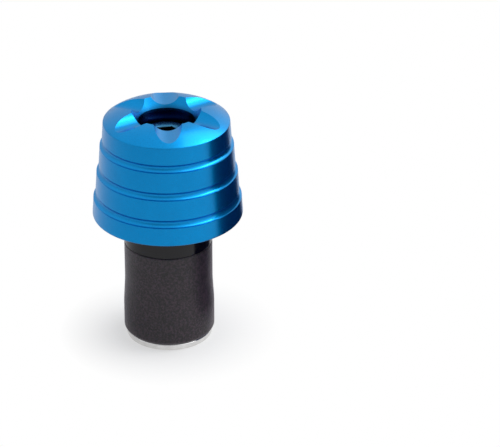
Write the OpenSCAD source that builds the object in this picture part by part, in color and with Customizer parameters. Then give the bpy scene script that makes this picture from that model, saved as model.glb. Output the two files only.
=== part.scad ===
// Bar end weight: a turned, fluted weight and the expanding plug that holds it in a handlebar.
// It stands on the plug's end nut, with the axis along Z and the origin at the bottom centre.

/* [Weight] */
// Diameter of the wide end, which sits against the grip
base_d = 29.4; // [27:0.1:36]
// Half angle of the cone that each band's face follows
taper = 3.9; // [1:0.1:6]
// How far each band's face stands inside the one below it
band_step = 0.36; // [0.1:0.02:0.5]
// Number of turned grooves, one below each band's lip
groove_n = 3; // [1:1:4]
// Height of the first groove's centre above the back face
first_groove = 4.6; // [3:0.1:8]
// Distance from one groove to the next
groove_pitch = 5.5; // [3:0.1:8]
// Distance from the last groove's centre to the outer rim
outer_band_l = 4.1; // [2:0.1:8]
// Nose radius of the tool that cuts the grooves
groove_r = 0.85; // [0.6:0.05:1.2]
// How far each groove undercuts the lip above it
undercut = 0.35; // [0.2:0.05:0.5]
// Rounding of the back face's outer edge
back_round = 0.4; // [0.05:0.05:0.6]
// Rounding of the outer rim
rim_round = 0.3; // [0.05:0.05:0.6]
// Metal left between the back face and the screw's seat
seat_web = 11.4; // [5:0.1:12.5]

/* [Crown] */
// How far the crown rises from the outer rim to the mouth
crown_rise = 2.2; // [1.5:0.1:3]
// Radius of the curve that the crown follows from the rim to the mouth
crown_r = 11.4; // [9:0.1:30]
// Width of the countersink at the mouth
mouth_w = 1.2; // [0.4:0.05:1.6]
// Depth of the countersink
mouth_depth = 2.1; // [1:0.1:3]
// Number of flutes cut across the crown
flute_n = 6; // [3:1:6]
// Radius of the ball-nosed cutter that cuts the flutes
flute_r = 3.15; // [2:0.05:3.5]
// Diameter of the circle that the flutes' outer tips reach
flute_tip_d = 22.6; // [20:0.1:23]
// Angle of the first flute from the front
flute_turn = 4; // [0:0.1:30]

/* [Screw] */
// Thread diameter of the cap screw
screw_d = 6; // [5:0.5:6]
// How far inside the end nut's outer face the screw's tip ends
tip_inset = 2.9; // [1:0.1:6]
// Diameter of the screw's head
head_d = 10; // [9.5:0.1:10.5]
// Height of the screw's head
head_h = 6; // [5:0.1:7]
// Rounding of the head's top edge
head_round = 0.6; // [0.2:0.1:1]
// Hexagon socket across its flats
key_af = 5; // [4:0.5:5]
// Depth of the hexagon socket
key_depth = 3; // [2:0.1:4]
// Chamfer at the screw's tip
tip_chamfer = 0.7; // [0.3:0.1:1.2]

/* [Collar] */
// Diameter of the plug: the collar, and the rubber sleeve along its straight part
plug_d = 17.3; // [15:0.1:17.5]
// Length of the collar that shows below the weight
collar_l = 6; // [3:0.1:10]
// Rounding of the collar's edges
collar_round = 0.3; // [0.05:0.05:0.8]
// Depth of the recess in the weight's back face that the collar seats in
collar_seat = 1.2; // [0.5:0.1:3]

/* [Rubber sleeve] */
// Length of the sleeve
sleeve_l = 19.2; // [17:0.1:26]
// How far the flared end stands out beyond the straight part
flare_rise = 0.3; // [0.1:0.05:1]
// Length of the flared end
flare_l = 6; // [3:0.1:8]
// Length over which the sleeve widens to the flare
flare_run = 5; // [3:0.1:8]
// Radius that blends the flare into the straight parts
flare_blend = 20; // [5:1:30]
// Rounding of the flared end's edge
flare_round = 0.8; // [0.2:0.1:1.5]
// Rounding of the sleeve's edge at the collar
sleeve_round = 0.35; // [0.1:0.05:0.8]
// Wall of the sleeve at its flared end, around the nut's cone
flare_wall = 1.9; // [1.2:0.1:3]

/* [End nut] */
// How far the end nut's rim stands inside the plug's straight part
nut_inset = 0.15; // [0.05:0.05:0.5]
// Thickness of the rim, on which the part stands
nut_rim = 1.3; // [0.8:0.1:3]
// Rounding of the rim's edges
nut_round = 0.3; // [0.1:0.05:0.35]
// Diameter of the cone's small end
cone_tip_d = 10.5; // [9:0.1:11.5]
// Length of the cone
cone_l = 9; // [5:0.1:12]
// Room above the cone, up which it is drawn when the plug is tightened
cone_travel = 2.5; // [1:0.1:4]
// Chamfer at the mouth of the threaded hole
thread_chamfer = 0.5; // [0.2:0.1:1]

/* [Fits] */
// How much wider the screw's clearance holes are than its thread
screw_play = 0.6; // [0.3:0.1:1]
// How much wider the counterbore is than the screw's head
head_play = 1.1; // [0.5:0.1:2]
// How much wider the sleeve's bore is than the screw
sleeve_play = 1; // [0.4:0.1:1.5]
// How much wider the nut's hole is than the thread, both drawn plain
thread_play = 0.1; // [0.05:0.01:0.2]
// How much wider the sleeve's socket is than the nut's cone
cone_play = 0.1; // [0.05:0.01:0.3]
// How much wider the recess in the weight is than the collar
collar_play = 0.1; // [0.05:0.01:0.3]

/* [Hidden] */

round_steps = 8;
crown_steps = 12;
overcut = 1;
turned = $preview ? 72 : 180;

sleeve_z = nut_rim;
collar_z = sleeve_z + sleeve_l;
back_z = collar_z + collar_l;
weight_l = first_groove + (groove_n - 1) * groove_pitch + outer_band_l;
crown_l = weight_l + crown_rise;
screw_l = back_z + seat_web - tip_inset;
flare_d = plug_d + 2 * flare_rise;
nut_d = plug_d - 2 * nut_inset;
cone_d = flare_d - 2 * flare_wall - cone_play;
hole_d = screw_d + screw_play;
counterbore_d = head_d + head_play;
mouth_r = counterbore_d / 2 + mouth_w;
rim_r = face_r(groove_n, weight_l);
crown_half = [mouth_r - rim_r, crown_rise] / 2;
crown_c = [rim_r, weight_l] + crown_half
    - [crown_half.y, -crown_half.x] / norm(crown_half) * sqrt(pow(crown_r, 2) - pow(norm(crown_half), 2));
flute_floor = crown_z(flute_tip_d / 2);

// Radius of one band's face, counted from the wide end, at a height above the back face
function face_r(band, z) = base_d / 2 - band * band_step - z * tan(taper);

// Height of the crown's curve above the back face, at a distance from the axis
function crown_z(r) = crown_c.y + sqrt(pow(crown_r, 2) - pow(r - crown_c.x, 2));

// Height of one groove's centre above the back face
function groove_z(i) = first_groove + i * groove_pitch;

// Arc that rounds the corner at q between its neighbours p and s
function corner(p, q, s, r) =
    let (
        u = (p - q) / norm(p - q),
        v = (s - q) / norm(s - q),
        half = acos(u * v) / 2,
        centre = q + (u + v) / norm(u + v) * r / sin(half),
        first = q + u * r / tan(half) - centre,
        last = q + v * r / tan(half) - centre,
        start = atan2(first.y, first.x),
        swing = atan2(last.y, last.x) - start,
        sweep = swing > 180 ? swing - 360 : swing < -180 ? swing + 360 : swing
    )
    [for (i = [0:round_steps]) let (a = start + sweep * i / round_steps) centre + r * [cos(a), sin(a)]];

// Outline whose points are [radius, height] or, where the corner is rounded, [radius, height, rounding]
function outline(path) =
    let (n = len(path), flat = [for (p = path) [p.x, p.y]])
    [for (i = [0:n - 1]) each len(path[i]) > 2
        ? corner(flat[(i + n - 1) % n], flat[i], flat[(i + 1) % n], path[i].z)
        : [flat[i]]];

module lathe(path) rotate_extrude($fn = turned) polygon(outline(path));

// Stepped cone with its domed crown, before any hole or groove is cut
module weight_blank() {
    faces = [for (i = [0:groove_n]) each [
        if (i > 0) [face_r(i, groove_z(i - 1)), groove_z(i - 1)],
        if (i < groove_n) [face_r(i, groove_z(i)), groove_z(i)]
    ]];
    crown = [for (i = [1:crown_steps - 1])
        let (r = rim_r + (mouth_r - rim_r) * i / crown_steps) [r, crown_z(r)]];
    lathe(concat(
        [[0, 0], [face_r(0, 0), 0, back_round]],
        faces,
        [[rim_r, weight_l, rim_round]],
        crown,
        [[mouth_r, crown_l], [0, crown_l]]
    ));
}

// Round-bottomed groove that leaves a sharp lip above it and a shoulder below it
module groove(i) {
    lip_r = face_r(i + 1, groove_z(i));
    translate([0, 0, groove_z(i)]) rotate_extrude($fn = turned)
        translate([lip_r - undercut + groove_r, 0]) circle(groove_r, $fn = turned);
}

// Clearance hole, counterbore and countersink, all on the axis
module screw_passage() {
    translate([0, 0, -overcut]) cylinder(h = crown_l, d = hole_d, $fn = turned);
    translate([0, 0, seat_web]) cylinder(h = crown_l, d = counterbore_d, $fn = turned);
    translate([0, 0, crown_l - mouth_depth])
        cylinder(h = 2 * mouth_depth, r1 = counterbore_d / 2, r2 = mouth_r + mouth_w, $fn = turned);
}

// One level pass of the ball-nosed cutter, from the axis out past the crown's edge
module flute(i) {
    rotate([0, 0, i * 360 / flute_n + flute_turn - 90])
        translate([0, 0, flute_floor + flute_r])
            rotate([0, 90, 0]) cylinder(h = base_d / 2, r = flute_r, $fn = turned);
}

module weight_body() {
    color("#0b7cc0") translate([0, 0, back_z]) difference() {
        weight_blank();
        for (i = [0:groove_n - 1]) groove(i);
        screw_passage();
        for (i = [0:flute_n - 1]) flute(i);
        translate([0, 0, -overcut])
            cylinder(h = overcut + collar_seat, d = plug_d + collar_play, $fn = turned);
    }
}

module collar() {
    color("#1c1b1f") translate([0, 0, collar_z]) lathe([
        [hole_d / 2, 0],
        [plug_d / 2, 0, collar_round],
        [plug_d / 2, collar_l + collar_seat, collar_round],
        [hole_d / 2, collar_l + collar_seat]
    ]);
}

module rubber_sleeve() {
    socket_top = cone_l + cone_travel;
    color("#2f2c30") translate([0, 0, sleeve_z]) lathe([
        [(cone_d + cone_play) / 2, 0],
        [flare_d / 2, 0, flare_round],
        [flare_d / 2, flare_l, flare_blend],
        [plug_d / 2, flare_l + flare_run, flare_blend],
        [plug_d / 2, sleeve_l, sleeve_round],
        [(screw_d + sleeve_play) / 2, sleeve_l],
        [(screw_d + sleeve_play) / 2, socket_top],
        [(cone_tip_d + cone_play) / 2, socket_top],
        [(cone_tip_d + cone_play) / 2, cone_l]
    ]);
}

module end_nut() {
    thread_r = (screw_d + thread_play) / 2;
    color("#c9cbce") lathe([
        [thread_r + thread_chamfer, 0],
        [nut_d / 2, 0, nut_round],
        [nut_d / 2, nut_rim, nut_round],
        [cone_d / 2, nut_rim],
        [cone_tip_d / 2, nut_rim + cone_l],
        [thread_r, nut_rim + cone_l],
        [thread_r, thread_chamfer]
    ]);
}

// Socket cap screw, with its thread drawn plain at the outer diameter
module clamp_screw() {
    key_r = key_af / 2 / cos(30);
    color("#8f9297") translate([0, 0, back_z + seat_web]) difference() {
        lathe([
            [0, -screw_l],
            [screw_d / 2 - tip_chamfer, -screw_l],
            [screw_d / 2, tip_chamfer - screw_l],
            [screw_d / 2, 0],
            [head_d / 2, 0],
            [head_d / 2, head_h, head_round],
            [0, head_h]
        ]);
        translate([0, 0, head_h - key_depth]) cylinder(h = key_depth + overcut, r = key_r, $fn = 6);
    }
}

weight_body();
collar();
rubber_sleeve();
end_nut();
clamp_screw();
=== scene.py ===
import math

import bpy
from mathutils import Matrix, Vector


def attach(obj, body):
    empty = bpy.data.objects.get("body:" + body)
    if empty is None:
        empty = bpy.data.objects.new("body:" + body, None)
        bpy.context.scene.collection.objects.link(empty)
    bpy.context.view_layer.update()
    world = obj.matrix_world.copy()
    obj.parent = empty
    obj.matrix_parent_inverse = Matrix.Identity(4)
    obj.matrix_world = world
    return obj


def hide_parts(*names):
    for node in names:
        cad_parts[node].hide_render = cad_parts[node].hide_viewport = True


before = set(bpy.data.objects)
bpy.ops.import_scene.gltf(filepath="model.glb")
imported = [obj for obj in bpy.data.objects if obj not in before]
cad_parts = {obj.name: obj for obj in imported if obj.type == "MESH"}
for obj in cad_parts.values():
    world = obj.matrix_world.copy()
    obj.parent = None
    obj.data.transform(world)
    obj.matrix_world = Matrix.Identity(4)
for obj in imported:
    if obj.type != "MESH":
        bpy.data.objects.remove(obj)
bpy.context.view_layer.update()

MM = 0.001

# Camera
# A long lens that looks down at the standing part, which sits left of the middle of the frame.
# Its pitch and distance come from fitting the round edges of the part to the photograph.
camera_pitch = math.radians(27.84)
camera_distance = 548.1 * MM
camera_target = Vector((16.04, 0, 23.85)) * MM
lens_in_picture_widths = 5.6
sensor_width = 36

camera_data = bpy.data.cameras.new("camera")
camera_data.sensor_width = sensor_width
camera_data.lens = lens_in_picture_widths * sensor_width
camera_data.clip_start = 10 * MM
camera_data.clip_end = 10
camera = bpy.data.objects.new("camera", camera_data)
camera_back = Vector((0, -math.cos(camera_pitch), math.sin(camera_pitch)))
camera.location = camera_target + camera_back * camera_distance
camera.rotation_euler = (math.pi / 2 - camera_pitch, 0, 0)
bpy.context.scene.collection.objects.link(camera)
bpy.context.scene.camera = camera
bpy.context.scene.view_settings.view_transform = "Standard"


# Paper floor
# A wide sheet of white paper under the part: the whole background, with the soft shadow at the foot, which a
# painted white glow lightens and cuts off.
# From below it is clear, and it is open under the foot, so that the nut shows.
def linear(hex_colour):
    """Turns an sRGB colour written as hex into the linear values that the shaders take."""
    parts = [int(hex_colour[i:i + 2], 16) / 255 for i in (0, 2, 4)]
    return tuple(c / 12.92 if c <= 0.04045 else ((c + 0.055) / 1.055) ** 2.4 for c in parts) + (1,)


def add_node(owner, kind, settings=None, links=None):
    """Adds a shader node with its settings and links; an input goes by its name or number."""
    node = owner.node_tree.nodes.new(kind)
    for name, value in (settings or {}).items():
        if isinstance(name, int) or name in node.inputs:
            node.inputs[name].default_value = value
        else:
            setattr(node, name, value)
    for name, socket in (links or {}).items():
        owner.node_tree.links.new(socket, node.inputs[name])
    return node


def new_material(name):
    """Starts a material with an empty node tree."""
    material = bpy.data.materials.new(name)
    material.use_nodes = True
    material.node_tree.nodes.clear()
    return material


paper_half = 1.5
paper_drop = 0.02 * MM        # keeps the sheet out of the nut's own plane
foot_hole = 8.15 * MM
# Painted light: the camera sees the paper glow white, from a share at the foot to all white at shadow_far.
shadow_near, shadow_far = 8.5 * MM, 22 * MM
shadow_lift = 0.48            # share of clean white in the shadow right at the foot
# Painted reflection: near the foot the paper also glows for reflections only, which brightens the nut's rim.
gloss_near, gloss_far = 10 * MM, 14 * MM
gloss_lift = 0.5              # the same share, where the bright rim mirrors the paper

paper_mesh = bpy.data.meshes.new("paper_floor")
paper_mesh.from_pydata(
    [(x * paper_half, y * paper_half, 0) for x, y in ((-1, -1), (1, -1), (1, 1), (-1, 1))],
    [], [(0, 1, 2, 3)])
paper_floor = bpy.data.objects.new("paper_floor", paper_mesh)
paper_floor.location.z = -paper_drop
bpy.context.scene.collection.objects.link(paper_floor)

# Uncoated white paper, pressed smooth between rollers: matt, with no shine. It also glows white as painted
# light: for the camera more the farther from the foot, which lightens and ends the shadow, and near the foot
# for reflections only, a painted reflection on the nut's rim.
matt_paper = new_material("matt_paper")
paper_place = add_node(matt_paper, "ShaderNodeTexCoord")
paper_reach = add_node(matt_paper, "ShaderNodeVectorMath", {"operation": "LENGTH"}, {
    0: paper_place.outputs["Object"]})
# Painted light: share of white glow that the camera sees, growing with distance from the foot.
paper_fade = add_node(matt_paper, "ShaderNodeMapRange", {
    "From Min": shadow_near, "From Max": shadow_far, "To Min": shadow_lift, "To Max": 1.0}, {
    "Value": paper_reach.outputs["Value"]})
# Painted reflection: share of white glow that reflections see near the foot.
paper_near = add_node(matt_paper, "ShaderNodeMapRange", {
    "From Min": gloss_near, "From Max": gloss_far, "To Min": gloss_lift, "To Max": 0.0}, {
    "Value": paper_reach.outputs["Value"]})
paper_ray = add_node(matt_paper, "ShaderNodeLightPath")
paper_painted_reflection = add_node(matt_paper, "ShaderNodeMath", {"operation": "MULTIPLY"}, {
    0: paper_ray.outputs["Is Glossy Ray"], 1: paper_near.outputs["Result"]})
paper_share = add_node(matt_paper, "ShaderNodeMath", {"operation": "MULTIPLY_ADD"}, {
    0: paper_ray.outputs["Is Camera Ray"], 1: paper_fade.outputs["Result"],
    2: paper_painted_reflection.outputs["Value"]})
paper_surface = add_node(matt_paper, "ShaderNodeBsdfDiffuse", {"Color": linear("f2f2f3")})
paper_painted_glow = add_node(matt_paper, "ShaderNodeEmission", {"Color": linear("ffffff"), "Strength": 1.0})
paper_seen = add_node(matt_paper, "ShaderNodeMixShader", {}, {
    0: paper_share.outputs["Value"], 1: paper_surface.outputs["BSDF"],
    2: paper_painted_glow.outputs["Emission"]})
paper_side = add_node(matt_paper, "ShaderNodeNewGeometry")
paper_clear = add_node(matt_paper, "ShaderNodeBsdfTransparent")
paper_hole = add_node(matt_paper, "ShaderNodeMath", {"operation": "LESS_THAN", 1: foot_hole}, {
    0: paper_reach.outputs["Value"]})
paper_open = add_node(matt_paper, "ShaderNodeMath", {"operation": "MAXIMUM"}, {
    0: paper_side.outputs["Backfacing"], 1: paper_hole.outputs["Value"]})
paper_faces = add_node(matt_paper, "ShaderNodeMixShader", {}, {
    0: paper_open.outputs["Value"], 1: paper_seen.outputs["Shader"], 2: paper_clear.outputs["BSDF"]})
add_node(matt_paper, "ShaderNodeOutputMaterial", {}, {"Surface": paper_faces.outputs["Shader"]})
paper_mesh.materials.append(matt_paper)

# Dark card
# A dark blue cone beside the part, which the camera, diffuse light and shadows don't see and only the metal
# mirrors. It is a painted reflection: it gives the right side of the turned bands their deep navy zone.
card_foot_radius, card_top_radius, card_height, card_sides = 15.6, 13.8, 46, 64
card_place = Vector((31.4, 1.2, 0)) * MM
card_turns = [math.tau * i / card_sides for i in range(card_sides)]

card_mesh = bpy.data.meshes.new("painted_reflection_card")
card_mesh.from_pydata(
    [(radius * MM * math.cos(turn), radius * MM * math.sin(turn), height * MM)
     for radius, height in ((card_foot_radius, 0), (card_top_radius, card_height))
     for turn in card_turns], [],
    [(i, (i + 1) % card_sides, card_sides + (i + 1) % card_sides, card_sides + i)
     for i in range(card_sides)]
    + [tuple(range(card_sides, 2 * card_sides))])
painted_reflection_card = bpy.data.objects.new("painted_reflection_card", card_mesh)
painted_reflection_card.location = card_place
painted_reflection_card.visible_camera = False
painted_reflection_card.visible_diffuse = False
painted_reflection_card.visible_shadow = False
bpy.context.scene.collection.objects.link(painted_reflection_card)

# Matt navy all over, seen only in reflections: the colour of the painted reflection.
painted_reflection_navy = new_material("painted_reflection_navy")
card_surface = add_node(painted_reflection_navy, "ShaderNodeBsdfDiffuse", {"Color": linear("1c2c66")})
add_node(painted_reflection_navy, "ShaderNodeOutputMaterial", {}, {"Surface": card_surface.outputs["BSDF"]})
card_mesh.materials.append(painted_reflection_navy)


# Studio light
# A large soft box high on the right with a brighter middle, and one overhead that only fills.
# Gloss sees the room around them as pale, lighter upwards and to the right, and dimmer behind the camera.
def soft_box(name, place, width, radiance, aim=Vector((0, 0, 35)) * MM):
    """A square area lamp at a place in millimetres, turned towards the part, as bright as told."""
    data = bpy.data.lights.new(name, "AREA")
    data.shape = "RECTANGLE"
    data.size = data.size_y = width * MM
    data.energy = radiance * math.pi * data.size * data.size_y
    lamp = bpy.data.objects.new(name, data)
    lamp.location = Vector(place) * MM
    lamp.rotation_euler = (aim - lamp.location).to_track_quat("-Z", "Y").to_euler()
    bpy.context.scene.collection.objects.link(lamp)
    return lamp


soft_box("soft_box_right", (440, 90, 580), 680, 1.7)
soft_box("soft_box_right_middle", (440, 40, 540), 200, 5.4)
overhead = soft_box("soft_box_overhead", (-40, 60, 900), 620, 1.1)
overhead.visible_glossy = False

room_left, room_right = 0.74, 1.5
room_rise = 0.25
room_behind_camera = 0.6
room_fill_strength = 0.38

surround = bpy.data.worlds.new("surround")
surround.use_nodes = True
surround.node_tree.nodes.clear()
bpy.context.scene.world = surround
sky_place = add_node(surround, "ShaderNodeTexCoord")
sky_parts = add_node(surround, "ShaderNodeSeparateXYZ", {}, {0: sky_place.outputs["Generated"]})
sky_right = add_node(surround, "ShaderNodeMapRange", {
    "From Max": 1.0, "To Min": room_left, "To Max": room_right}, {"Value": sky_parts.outputs["X"]})
sky_level = add_node(surround, "ShaderNodeMath", {"operation": "MULTIPLY_ADD", 1: room_rise}, {
    0: sky_parts.outputs["Z"], 2: sky_right.outputs["Result"]})
sky_front = add_node(surround, "ShaderNodeMapRange", {
    "From Min": -0.6, "From Max": -0.9, "To Min": 1.0, "To Max": room_behind_camera}, {
    "Value": sky_parts.outputs["Y"]})
sky_strength = add_node(surround, "ShaderNodeMath", {"operation": "MULTIPLY"}, {
    0: sky_level.outputs["Value"], 1: sky_front.outputs["Result"]})
room_seen = add_node(surround, "ShaderNodeBackground", {"Color": linear("fafbff")}, {
    "Strength": sky_strength.outputs["Value"]})
room_fill = add_node(surround, "ShaderNodeBackground", {
    "Color": linear("fafbff"), "Strength": room_fill_strength})
sky_ray = add_node(surround, "ShaderNodeLightPath")
sky_mix = add_node(surround, "ShaderNodeMixShader", {}, {
    0: sky_ray.outputs["Is Diffuse Ray"], 1: room_seen.outputs["Background"],
    2: room_fill.outputs["Background"]})
sky_white = add_node(surround, "ShaderNodeBackground", {"Color": linear("ffffff"), "Strength": 1.0})
sky_all = add_node(surround, "ShaderNodeMixShader", {}, {
    0: sky_ray.outputs["Is Camera Ray"], 1: sky_mix.outputs["Shader"],
    2: sky_white.outputs["Background"]})
add_node(surround, "ShaderNodeOutputWorld", {}, {"Surface": sky_all.outputs["Shader"]})


# Weight
# Heavy aluminium end piece, turned with three undercut grooves, then milled with six flutes round its opening.
# The clamp screw holds it to the plug through the counterbore in its middle.
def turned_place(material):
    """Where a point lies on a turned piece: its place, its distance from the axis and its height."""
    place = add_node(material, "ShaderNodeTexCoord").outputs["Object"]
    level = add_node(material, "ShaderNodeVectorMath", {"operation": "MULTIPLY", 1: (1, 1, 0)}, {0: place})
    reach = add_node(material, "ShaderNodeVectorMath", {"operation": "LENGTH"}, {
        0: level.outputs["Vector"]})
    parts = add_node(material, "ShaderNodeSeparateXYZ", {}, {0: place})
    return place, reach.outputs["Value"], parts.outputs["Z"]


def dress(node, material):
    """Gives a node of the frame its finish."""
    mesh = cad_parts[node].data
    mesh.materials.clear()
    mesh.materials.append(material)


blast_grain = 0.16 * MM       # a bead's dimple is finer, and is drawn as coarse as it needs to show
dye_cloud = 5 * MM            # size of the faint cloudy changes in the dye
bore_radius = 5.55 * MM
bore_top = 46.4 * MM
bore_fade = 1.6 * MM
noise_spread = {"From Min": 0.3, "From Max": 0.7}     # the part of a noise's range that it mostly fills

# Anodised aluminium, bead blasted first: a fine even grain under a deep satin dye, with a faint clear skin.
# Inside the counterbore, below its mouth, the colour is painted dark navy: painted shade in the recess.
satin_blue_anodise = new_material("satin_blue_anodise")
metal_place, metal_reach, metal_height = turned_place(satin_blue_anodise)
dye_noise = add_node(satin_blue_anodise, "ShaderNodeTexNoise", {"Scale": 1 / dye_cloud, "Detail": 3.0}, {
    "Vector": metal_place})
dye_share = add_node(satin_blue_anodise, "ShaderNodeMapRange", noise_spread, {
    "Value": dye_noise.outputs["Fac"]})
dye_colour = add_node(satin_blue_anodise, "ShaderNodeMix", {
    "data_type": "RGBA", 6: linear("0088ca"), 7: linear("008dd0")}, {0: dye_share.outputs["Result"]})
grain_noise = add_node(satin_blue_anodise, "ShaderNodeTexNoise", {
    "Scale": 1 / blast_grain, "Detail": 2.0, "Roughness": 0.6}, {"Vector": metal_place})
grain_tone = add_node(satin_blue_anodise, "ShaderNodeMapRange", {
    **noise_spread, "To Min": 0.9, "To Max": 1.08}, {"Value": grain_noise.outputs["Fac"]})
grain_colour = add_node(satin_blue_anodise, "ShaderNodeVectorMath", {"operation": "SCALE"}, {
    0: dye_colour.outputs[2], "Scale": grain_tone.outputs["Result"]})
# Painted shade: the counterbore's wall turns dark navy below its mouth.
inside_bore = add_node(satin_blue_anodise, "ShaderNodeMapRange", {
    "From Min": bore_radius + 0.9 * MM, "From Max": bore_radius + 0.1 * MM}, {"Value": metal_reach})
below_mouth = add_node(satin_blue_anodise, "ShaderNodeMapRange", {
    "From Min": bore_top + bore_fade / 2, "From Max": bore_top - bore_fade / 2}, {"Value": metal_height})
painted_bore_shade = add_node(satin_blue_anodise, "ShaderNodeMath", {"operation": "MULTIPLY"}, {
    0: inside_bore.outputs["Result"], 1: below_mouth.outputs["Result"]})
metal_colour = add_node(satin_blue_anodise, "ShaderNodeMix", {
    "data_type": "RGBA", 7: linear("000f40")}, {
    0: painted_bore_shade.outputs["Value"], 6: grain_colour.outputs["Vector"]})
metal_rough = add_node(satin_blue_anodise, "ShaderNodeMapRange", {
    **noise_spread, "To Min": 0.27, "To Max": 0.34}, {"Value": grain_noise.outputs["Fac"]})
metal_bump = add_node(satin_blue_anodise, "ShaderNodeBump", {"Strength": 0.12, "Distance": 0.02 * MM}, {
    "Height": grain_noise.outputs["Fac"]})
blue_metal = add_node(satin_blue_anodise, "ShaderNodeBsdfPrincipled", {
    "Metallic": 1.0, "Coat Weight": 0.15, "Coat Roughness": 0.16, "Coat IOR": 1.6}, {
    "Base Color": metal_colour.outputs[2], "Roughness": metal_rough.outputs["Result"],
    "Normal": metal_bump.outputs["Normal"]})
add_node(satin_blue_anodise, "ShaderNodeOutputMaterial", {}, {"Surface": blue_metal.outputs["BSDF"]})
dress("weight_body", satin_blue_anodise)

# Collar
# Stiff bush of black nylon, moulded and then skimmed on a lathe, which keeps the rubber off the weight.
# It seats in a shallow recess in the weight's back and is held by the clamp screw.
turning_pitch = 0.3 * MM      # the real feed is about 0.1 mm, drawn wider so that it shows
nylon_mottle = 0.9 * MM

# Nylon, skimmed smooth: a closed black surface, fairly glossy, with the faint rings of the tool.
satin_black_nylon = new_material("satin_black_nylon")
nylon_place = add_node(satin_black_nylon, "ShaderNodeTexCoord")
nylon_rings = add_node(satin_black_nylon, "ShaderNodeTexWave", {
    "wave_type": "BANDS", "bands_direction": "Z", "Scale": 2 / (math.tau * turning_pitch),
    "Distortion": 0.6, "Detail": 1.0}, {"Vector": nylon_place.outputs["Object"]})
nylon_noise = add_node(satin_black_nylon, "ShaderNodeTexNoise", {
    "Scale": 1 / nylon_mottle, "Detail": 4.0}, {"Vector": nylon_place.outputs["Object"]})
nylon_tone = add_node(satin_black_nylon, "ShaderNodeMix", {
    "data_type": "RGBA", 6: linear("040305"), 7: linear("0b090c")}, {0: nylon_noise.outputs["Fac"]})
nylon_rough = add_node(satin_black_nylon, "ShaderNodeMapRange", {
    **noise_spread, "To Min": 0.12, "To Max": 0.2}, {"Value": nylon_noise.outputs["Fac"]})
nylon_bump = add_node(satin_black_nylon, "ShaderNodeBump", {"Strength": 0.1, "Distance": 0.01 * MM}, {
    "Height": nylon_rings.outputs["Fac"]})
nylon = add_node(satin_black_nylon, "ShaderNodeBsdfPrincipled", {"IOR": 1.42}, {
    "Base Color": nylon_tone.outputs[2], "Roughness": nylon_rough.outputs["Result"],
    "Normal": nylon_bump.outputs["Normal"]})
add_node(satin_black_nylon, "ShaderNodeOutputMaterial", {}, {"Surface": nylon.outputs["BSDF"]})
dress("collar", satin_black_nylon)

# Rubber sleeve
# Thick tube of black rubber, moulded and ground to size, with a flare at its foot.
# The nut's cone swells it inside the handlebar tube, and that alone holds the part.
rubber_grain = 0.4 * MM       # the ground speckle is finer, and is drawn as coarse as it needs to show
rubber_patch = 3.5 * MM

# Black rubber, ground: a fine speckled grain scatters light and lifts the black to a warm grey.
matt_black_rubber = new_material("matt_black_rubber")
rubber_place = add_node(matt_black_rubber, "ShaderNodeTexCoord")
speckle = add_node(matt_black_rubber, "ShaderNodeTexNoise", {
    "Scale": 1 / rubber_grain, "Detail": 3.0, "Roughness": 0.65}, {
    "Vector": rubber_place.outputs["Object"]})
patches = add_node(matt_black_rubber, "ShaderNodeTexNoise", {"Scale": 1 / rubber_patch, "Detail": 3.0}, {
    "Vector": rubber_place.outputs["Object"]})
speckle_share = add_node(matt_black_rubber, "ShaderNodeMapRange", {"From Min": 0.43, "From Max": 0.6}, {
    "Value": speckle.outputs["Fac"]})
patch_tone = add_node(matt_black_rubber, "ShaderNodeMapRange", {
    **noise_spread, "To Min": 0.8, "To Max": 1.2}, {"Value": patches.outputs["Fac"]})
speckle_colour = add_node(matt_black_rubber, "ShaderNodeMix", {
    "data_type": "RGBA", 6: linear("040205"), 7: linear("342530")}, {0: speckle_share.outputs["Result"]})
rubber_colour = add_node(matt_black_rubber, "ShaderNodeVectorMath", {"operation": "SCALE"}, {
    0: speckle_colour.outputs[2], "Scale": patch_tone.outputs["Result"]})
rubber_bump = add_node(matt_black_rubber, "ShaderNodeBump", {"Strength": 0.7, "Distance": 0.1 * MM}, {
    "Height": speckle.outputs["Fac"]})
rubber = add_node(matt_black_rubber, "ShaderNodeBsdfPrincipled", {
    "Roughness": 0.45, "IOR": 1.52, "Sheen Weight": 0.26, "Sheen Roughness": 0.28,
    "Sheen Tint": linear("f4e4f4")}, {
    "Base Color": rubber_colour.outputs["Vector"], "Normal": rubber_bump.outputs["Normal"]})
add_node(matt_black_rubber, "ShaderNodeOutputMaterial", {}, {"Surface": rubber.outputs["BSDF"]})
dress("rubber_sleeve", matt_black_rubber)

# End nut
# Turned aluminium nut: a thin rim under the sleeve, a cone inside it and an M6 thread through the middle.
# The clamp screw draws it up, and the cone presses the rubber outwards.
thread_pitch = 1.0            # M6 coarse
thread_steps = 8              # rings of points along one turn of a thread
flank_slope, crest_share = 1.3, 0.12      # together they leave a flat on the crest and on the root
sharp_edge = math.radians(32)
nut_sides = 96
nut_top, nut_rim, nut_edge = 10.3, 1.3, 0.3
nut_radius, cone_foot_radius, cone_tip_radius = 8.5, 7.0, 5.25
nut_crest, nut_root = 2.56, 3.05
nut_foot_chamfer, nut_top_chamfer = (3.55, 0), (3.2, nut_top)
nut_thread_start, nut_thread_length = 0.75, 9.2
nut_thread_foot, nut_thread_stop = 0.5, 9.8       # plain rings that the thread ends in
nut_feed = 0.22 * MM          # spacing of the turning rings, about twice the real feed so that they show
nut_mottle = 1.5 * MM


def arc(centre, radius, start, stop, steps=5):
    """Points of a rounded edge, as (radius, height) in millimetres, between two angles in degrees."""
    angles = [math.radians(start + (stop - start) * i / steps) for i in range(steps + 1)]
    return [(centre[0] + radius * math.cos(angle), centre[1] + radius * math.sin(angle))
            for angle in angles]


def thread_depth(height, share):
    """How far into a thread's flank a point lies, from 0 on the crest to 1 at the root."""
    turn = (height / thread_pitch - share) % 1
    return min(max(abs(2 * turn - 1) * flank_slope - crest_share, 0), 1)


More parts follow.
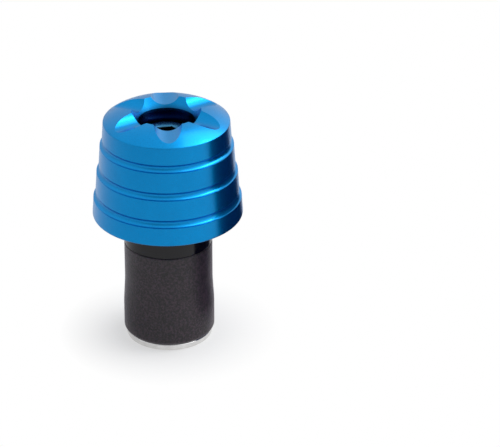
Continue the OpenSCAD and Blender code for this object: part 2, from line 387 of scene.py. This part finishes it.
def turned_piece(name, rings, sides, closed):
    """A turned form: each ring gives, for a share of the turn, a radius and a height in millimetres."""
    points = []
    for ring in rings:
        for i in range(sides):
            radius, height = ring(i / sides)
            angle = math.tau * i / sides
            points.append((radius * MM * math.cos(angle), radius * MM * math.sin(angle), height * MM))
    last = len(rings) - 1
    pairs = [(low, low + 1) for low in range(last)] + ([(last, 0)] if closed else [])
    faces = [(low * sides + i, low * sides + (i + 1) % sides, high * sides + (i + 1) % sides,
              high * sides + i)
             for low, high in pairs for i in range(sides)]
    if not closed:
        faces.append(tuple(reversed(range(sides))))
        faces.append(tuple(last * sides + i for i in range(sides)))
    mesh = bpy.data.meshes.new(name)
    mesh.from_pydata(points, [], faces)
    mesh.validate()
    mesh.shade_smooth()
    mesh.set_sharp_from_angle(angle=sharp_edge)
    piece = bpy.data.objects.new(name, mesh)
    bpy.context.scene.collection.objects.link(piece)
    return piece


def plain(radius, height):
    """A ring that is the same all round."""
    return lambda share: (radius, height)


def nut_thread(height):
    """A ring on the nut's inner thread, whose root takes the screw's crest."""
    return lambda share: (nut_root - (nut_root - nut_crest) * thread_depth(height, share), height)


nut_outline = (
    [nut_foot_chamfer]
    + arc((nut_radius - nut_edge, nut_edge), nut_edge, -90, 0)
    + arc((nut_radius - nut_edge, nut_rim - nut_edge), nut_edge, 0, 90)
    + [(cone_foot_radius, nut_rim), (cone_tip_radius, nut_top), nut_top_chamfer])
nut_heights = [nut_thread_start + i * thread_pitch / thread_steps
               for i in range(int(nut_thread_length / thread_pitch * thread_steps))]
end_nut = turned_piece(
    "end_nut_turned",
    [plain(*point) for point in nut_outline] + [plain(nut_root, nut_thread_stop)]
    + [nut_thread(height) for height in reversed(nut_heights)] + [plain(nut_root, nut_thread_foot)],
    nut_sides, closed=True)
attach(end_nut, "root")
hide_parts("end_nut")

# Plain aluminium, turned and not anodised: bright, with fine rings round the axis.
bright_turned_aluminium = new_material("bright_turned_aluminium")
bright_place, bright_reach, bright_height = turned_place(bright_turned_aluminium)
bright_travel = add_node(bright_turned_aluminium, "ShaderNodeMath", {"operation": "ADD"}, {
    0: bright_reach, 1: bright_height})
bright_phase = add_node(bright_turned_aluminium, "ShaderNodeMath", {
    "operation": "MULTIPLY", 1: math.tau / nut_feed}, {0: bright_travel.outputs["Value"]})
bright_rings = add_node(bright_turned_aluminium, "ShaderNodeMath", {"operation": "SINE"}, {
    0: bright_phase.outputs["Value"]})
bright_noise = add_node(bright_turned_aluminium, "ShaderNodeTexNoise", {
    "Scale": 1 / nut_mottle, "Detail": 5.0}, {"Vector": bright_place})
bright_tone = add_node(bright_turned_aluminium, "ShaderNodeMix", {
    "data_type": "RGBA", 6: linear("d0cfcd"), 7: linear("f2f1ef")}, {0: bright_noise.outputs["Fac"]})
bright_rough = add_node(bright_turned_aluminium, "ShaderNodeMapRange", {
    **noise_spread, "To Min": 0.09, "To Max": 0.17}, {"Value": bright_noise.outputs["Fac"]})
bright_bump = add_node(bright_turned_aluminium, "ShaderNodeBump", {
    "Strength": 0.2, "Distance": 0.006 * MM}, {"Height": bright_rings.outputs["Value"]})
bright = add_node(bright_turned_aluminium, "ShaderNodeBsdfPrincipled", {"Metallic": 1.0}, {
    "Base Color": bright_tone.outputs[2], "Roughness": bright_rough.outputs["Result"],
    "Normal": bright_bump.outputs["Normal"]})
add_node(bright_turned_aluminium, "ShaderNodeOutputMaterial", {}, {"Surface": bright.outputs["BSDF"]})
end_nut.data.materials.append(bright_turned_aluminium)

# Clamp screw
# M6 x 35 socket cap screw of steel, with a rolled thread, a knurled head and a punched hexagon.
# Its head sits at the bottom of the weight's counterbore, and turning it tightens the plug.
screw_sides = 216
screw_tip, thread_end, head_foot, head_top = 2.9, 26.9, 37.9, 43.9
crest_radius, root_radius, head_radius = 2.97, 2.46, 5.0
tip_chamfer, neck_fillet, neck_height = 0.7, 0.2, 0.15
head_edge, head_round = 0.2, 0.6
knurl_count, knurl_depth = 72, 0.12
knurl_foot, knurl_stop = 0.5, 0.35        # plain strips under and over the knurls
socket_flat, socket_depth, socket_point, socket_centre = 2.5, 3.0, 0.9, 0.4
socket_turn = math.radians(11.2)
chamfer_radius, chamfer_slope = 3.65, math.tan(math.radians(13))


def screw_thread(height):
    """A ring on the screw's thread, which runs out into the shank and is cut short by the tip's chamfer."""
    def ring(share):
        radius = crest_radius - (crest_radius - root_radius) * thread_depth(height, share)
        runout = max(0, min(1, (height - thread_end + thread_pitch) / thread_pitch))
        radius += (crest_radius - radius) * runout
        return min(radius, crest_radius - tip_chamfer + height - screw_tip), height
    return ring


def knurled(height):
    """A ring round the head's side, with one dent for each knurl."""
    def ring(share):
        dent = 0.5 - 0.5 * math.cos(math.tau * knurl_count * share)
        return head_radius - knurl_depth * dent, height
    return ring


def hexagon_radius(share):
    """Distance from the axis to the hexagon's side, at a share of the turn."""
    sixth = math.pi / 3
    return socket_flat / math.cos((math.tau * share - socket_turn) % sixth - sixth / 2)


def socket_edge(share):
    """The line where the socket's chamfer meets the hexagon."""
    radius = hexagon_radius(share)
    return radius, head_top - (chamfer_radius - radius) * chamfer_slope


def socket_floor(share):
    """The hexagon's line at the bottom of the socket."""
    return hexagon_radius(share), head_top - socket_depth


screw_heights = [screw_tip + i * thread_pitch / thread_steps
                 for i in range(int((thread_end - screw_tip) / thread_pitch * thread_steps) + 1)]
head_rim = head_radius - 0.15             # the plain strips stand just inside the knurls
clamp_screw = turned_piece(
    "clamp_screw_threaded",
    [screw_thread(height) for height in screw_heights]
    + [plain(crest_radius, head_foot - neck_height), plain(crest_radius + neck_fillet, head_foot)]
    + [plain(*point) for point in arc((head_rim - head_edge, head_foot + head_edge), head_edge, -90, 0)]
    + [knurled(head_foot + knurl_foot), knurled(head_top - head_round - knurl_stop)]
    + [plain(*point) for point in arc((head_rim - head_round, head_top - head_round), head_round, 0, 90)]
    + [plain(chamfer_radius, head_top), socket_edge, socket_floor,
       plain(socket_centre, head_top - socket_depth - socket_point)],
    screw_sides, closed=False)
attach(clamp_screw, "root")
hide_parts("clamp_screw")

socket_shade_radius = 2.95 * MM      # inside this radius, and below the chamfer, the socket is painted near black: painted shade
socket_shade_top, socket_shade_low = (head_top - 0.17) * MM, (head_top - 0.28) * MM
zinc_mottle = 0.7 * MM

# Steel, zinc plated and passivated blue: a tinted satin metal, whose blue is partly the passivate and partly a
# painted reflection of the blue counterbore; the socket below its chamfer is painted near black, painted shade
# in the recess.
zinc_plated_steel = new_material("zinc_plated_steel")
zinc_place, zinc_reach, zinc_height = turned_place(zinc_plated_steel)
# Painted shade: the socket's walls below the chamfer turn near black.
inside_socket = add_node(zinc_plated_steel, "ShaderNodeMath", {
    "operation": "LESS_THAN", 1: socket_shade_radius}, {0: zinc_reach})
below_chamfer = add_node(zinc_plated_steel, "ShaderNodeMapRange", {
    "From Min": socket_shade_top, "From Max": socket_shade_low}, {"Value": zinc_height})
above_shank = add_node(zinc_plated_steel, "ShaderNodeMath", {
    "operation": "GREATER_THAN", 1: head_foot * MM}, {0: zinc_height})
socket_side = add_node(zinc_plated_steel, "ShaderNodeMath", {"operation": "MULTIPLY"}, {
    0: inside_socket.outputs["Value"], 1: below_chamfer.outputs["Result"]})
painted_socket_shade = add_node(zinc_plated_steel, "ShaderNodeMath", {"operation": "MULTIPLY"}, {
    0: socket_side.outputs["Value"], 1: above_shank.outputs["Value"]})
zinc_noise = add_node(zinc_plated_steel, "ShaderNodeTexNoise", {"Scale": 1 / zinc_mottle, "Detail": 4.0}, {
    "Vector": zinc_place})
# Partly painted reflection: the blue stands partly for passivated zinc and partly for the blue counterbore
# mirrored in the head.
zinc_and_reflection_tone = add_node(zinc_plated_steel, "ShaderNodeMix", {
    "data_type": "RGBA", 6: linear("3f8fb8"), 7: linear("58a5ca")}, {0: zinc_noise.outputs["Fac"]})
zinc_colour = add_node(zinc_plated_steel, "ShaderNodeMix", {
    "data_type": "RGBA", 7: linear("0b0d12")}, {
    0: painted_socket_shade.outputs["Value"], 6: zinc_and_reflection_tone.outputs[2]})
zinc_rough = add_node(zinc_plated_steel, "ShaderNodeMapRange", {
    **noise_spread, "To Min": 0.2, "To Max": 0.3}, {"Value": zinc_noise.outputs["Fac"]})
zinc_bump = add_node(zinc_plated_steel, "ShaderNodeBump", {"Strength": 0.08, "Distance": 0.01 * MM}, {
    "Height": zinc_noise.outputs["Fac"]})
zinc = add_node(zinc_plated_steel, "ShaderNodeBsdfPrincipled", {"Metallic": 1.0}, {
    "Base Color": zinc_colour.outputs[2], "Roughness": zinc_rough.outputs["Result"],
    "Normal": zinc_bump.outputs["Normal"]})
add_node(zinc_plated_steel, "ShaderNodeOutputMaterial", {}, {"Surface": zinc.outputs["BSDF"]})
clamp_screw.data.materials.append(zinc_plated_steel)
